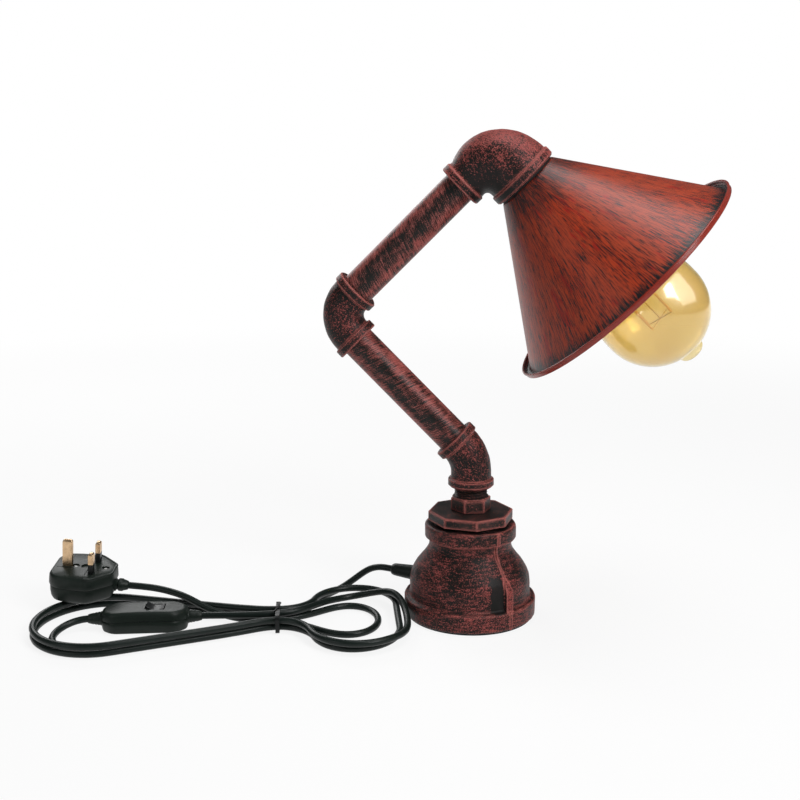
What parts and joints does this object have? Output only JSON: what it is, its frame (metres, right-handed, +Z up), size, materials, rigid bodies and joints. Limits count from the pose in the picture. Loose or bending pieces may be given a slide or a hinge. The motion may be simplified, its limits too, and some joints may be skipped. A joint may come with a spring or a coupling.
{
  "type": "pipe table lamp",
  "caption": "Table lamp of threaded pipe and elbows on a reducing-socket foot, with a swivelling arm, a cone shade over a globe bulb, and a corded rocker switch and three-pin plug.",
  "frame": {"origin": "centre of the foot's underside, on the table", "axes": "+Z up; +X towards the side the shade hangs over; the arm lies in the XZ plane; -X is where the cord lies"},
  "size_m": [0.5342, 0.2457, 0.3882],
  "materials": {
    "red_casting": "rustic red brushed over black on sandy castings, satin",
    "red_pipe": "rustic red dragged over black along the pipe, satin",
    "red_sheet": "rustic red with black streaks from top to rim, satin",
    "brown_casting": "dark brown-grey, worn, satin",
    "dark_steel": "near-black, satin",
    "dark_steel_sheet": "near-black, satin",
    "plain_steel": "plain",
    "brass": "plain",
    "pin_brass": "plain, lightly worn",
    "porcelain": "white glazed",
    "pad_rubber": "matt",
    "core_brown": "satin",
    "inner_flex": "satin",
    "cord_black": "satin",
    "black_plastic": "fine satin",
    "rocker_black": "satin",
    "black_glaze": "glossy",
    "fuse_body": "glazed",
    "filament": "dull",
    "amber_glass": "clear amber, glossy",
    "clear_glass": "clear"
  },
  "bodies": {
    "base": {"foot_socket": "red_casting", "foot_pad": "pad_rubber", "foot_plate": "plain_steel", "octagon_bushing": "brown_casting", "hex_nipple": "dark_steel", "strain_relief": "black_plastic", "relief_nut": "black_plastic", "foot_flex": "inner_flex", "cord_lead": "cord_black", "cord_hank": "cord_black", "cord_tie": "cord_black", "cord_switch_lead": "cord_black", "cord_plug_lead": "cord_black", "switch_base": "black_plastic", "switch_cover": "black_plastic", "rocker_pin": "plain_steel", "switch_contacts": "brass", "switch_screws": "plain_steel", "plug_base": "black_plastic", "plug_cover": "black_plastic", "earth_pin": "pin_brass", "line_pins": "pin_brass", "pin_sleeves": "black_plastic", "plug_fuse": "fuse_body", "fuse_clips": "brass", "cord_clamp": "black_plastic", "plug_screws": "plain_steel"},
    "lower_arm": {"lower_elbow": "red_casting", "lower_pipe": "red_pipe", "lower_flex": "inner_flex"},
    "upper_arm": {"middle_elbow": "red_casting", "upper_pipe": "red_pipe", "upper_flex": "inner_flex"},
    "head": {"upper_elbow": "red_casting", "mouth_bush": "brass", "hollow_rod": "brass", "rod_nut": "plain_steel", "shade_washer": "pad_rubber", "shade": "red_sheet", "holder_cap": "dark_steel_sheet", "holder_skirt": "dark_steel_sheet", "holder_insert": "porcelain", "screw_shell": "brass", "centre_contact": "brass", "terminal_screws": "plain_steel", "holder_cores": "core_brown", "head_flex": "inner_flex"},
    "bulb": {"bulb_glass": "amber_glass", "bulb_stem": "clear_glass", "bulb_filaments": "filament", "bulb_supports": "plain_steel", "bulb_cap": "brass", "bulb_insulator": "black_glaze", "bulb_contact": "plain_steel"},
    "rocker": {"switch_rocker": "rocker_black"}
  },
  "joints": [
    {"name": "base_swivel", "type": "hinge", "parent": "base", "child": "lower_arm", "pos_m": [0, 0, 0.1074], "axis": [0, 0, 1], "range_deg": [-170, 170]},
    {"name": "middle_swivel", "type": "hinge", "parent": "lower_arm", "child": "upper_arm", "pos_m": [-0.11208, 0, 0.24448], "axis": [-0.7071, 0, 0.7071], "range_deg": [-90, 90]},
    {"name": "upper_swivel", "type": "hinge", "parent": "upper_arm", "child": "head", "pos_m": [0.01648, 0, 0.37303], "axis": [0.7071, 0, 0.7071], "range_deg": [-90, 90]},
    {"name": "bulb_turn", "type": "hinge", "parent": "head", "child": "bulb", "pos_m": [0.07996, 0.00628, 0.30954], "axis": [0.7054, 0.0698, -0.7054], "range_deg": [0, 1080]},
    {"name": "switch_rocker_press", "type": "hinge", "parent": "base", "child": "rocker", "pos_m": [-0.24598, -0.06458, 0.01602], "axis": [0.1908, -0.9816, 0], "range_deg": [0, 20]}
  ]
}
